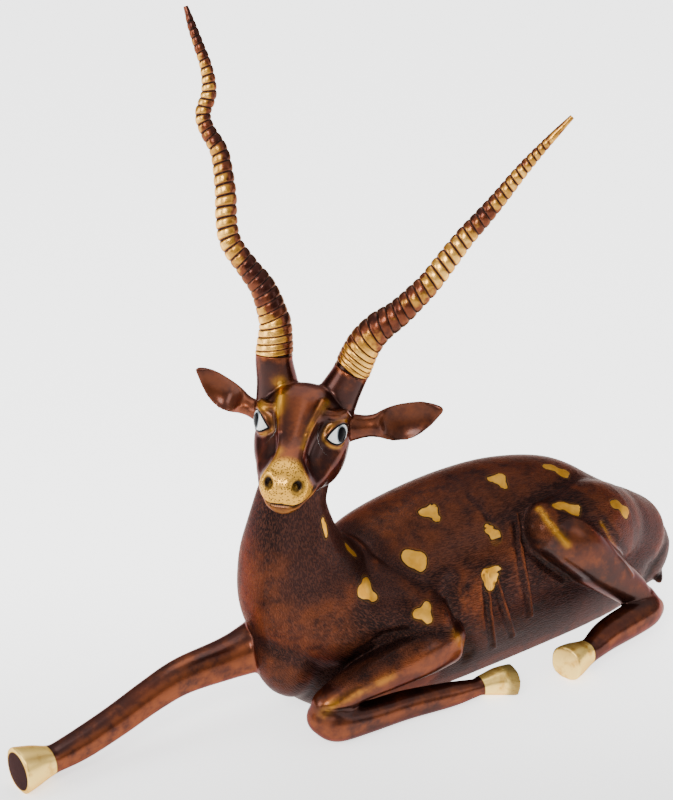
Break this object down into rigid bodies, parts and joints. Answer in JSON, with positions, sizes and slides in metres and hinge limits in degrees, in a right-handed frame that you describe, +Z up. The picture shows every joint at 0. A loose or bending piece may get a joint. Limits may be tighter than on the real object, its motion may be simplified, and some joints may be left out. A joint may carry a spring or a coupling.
{
  "type": "deer statue",
  "caption": "Lying antelope-like deer in cast brass, head turned to its left, one fore leg stretched out, with tall wavy ringed horns.",
  "frame": {"origin": "middle of the footprint, on the ground that the statue lies on", "axes": "+Z up, -X the way the body faces, -Y the deer's left side"},
  "size_m": [0.806, 0.287, 0.6886],
  "materials": {
    "brown_brass": "dark brown lacquered patina with gold spots, hooves and muzzle",
    "ringed_brass": "polished gold rings with brown lacquer between them"
  },
  "bodies": {
    "root": {"casting": "brown_brass", "right_horn": "ringed_brass", "left_horn": "ringed_brass"}
  },
  "joints": []
}
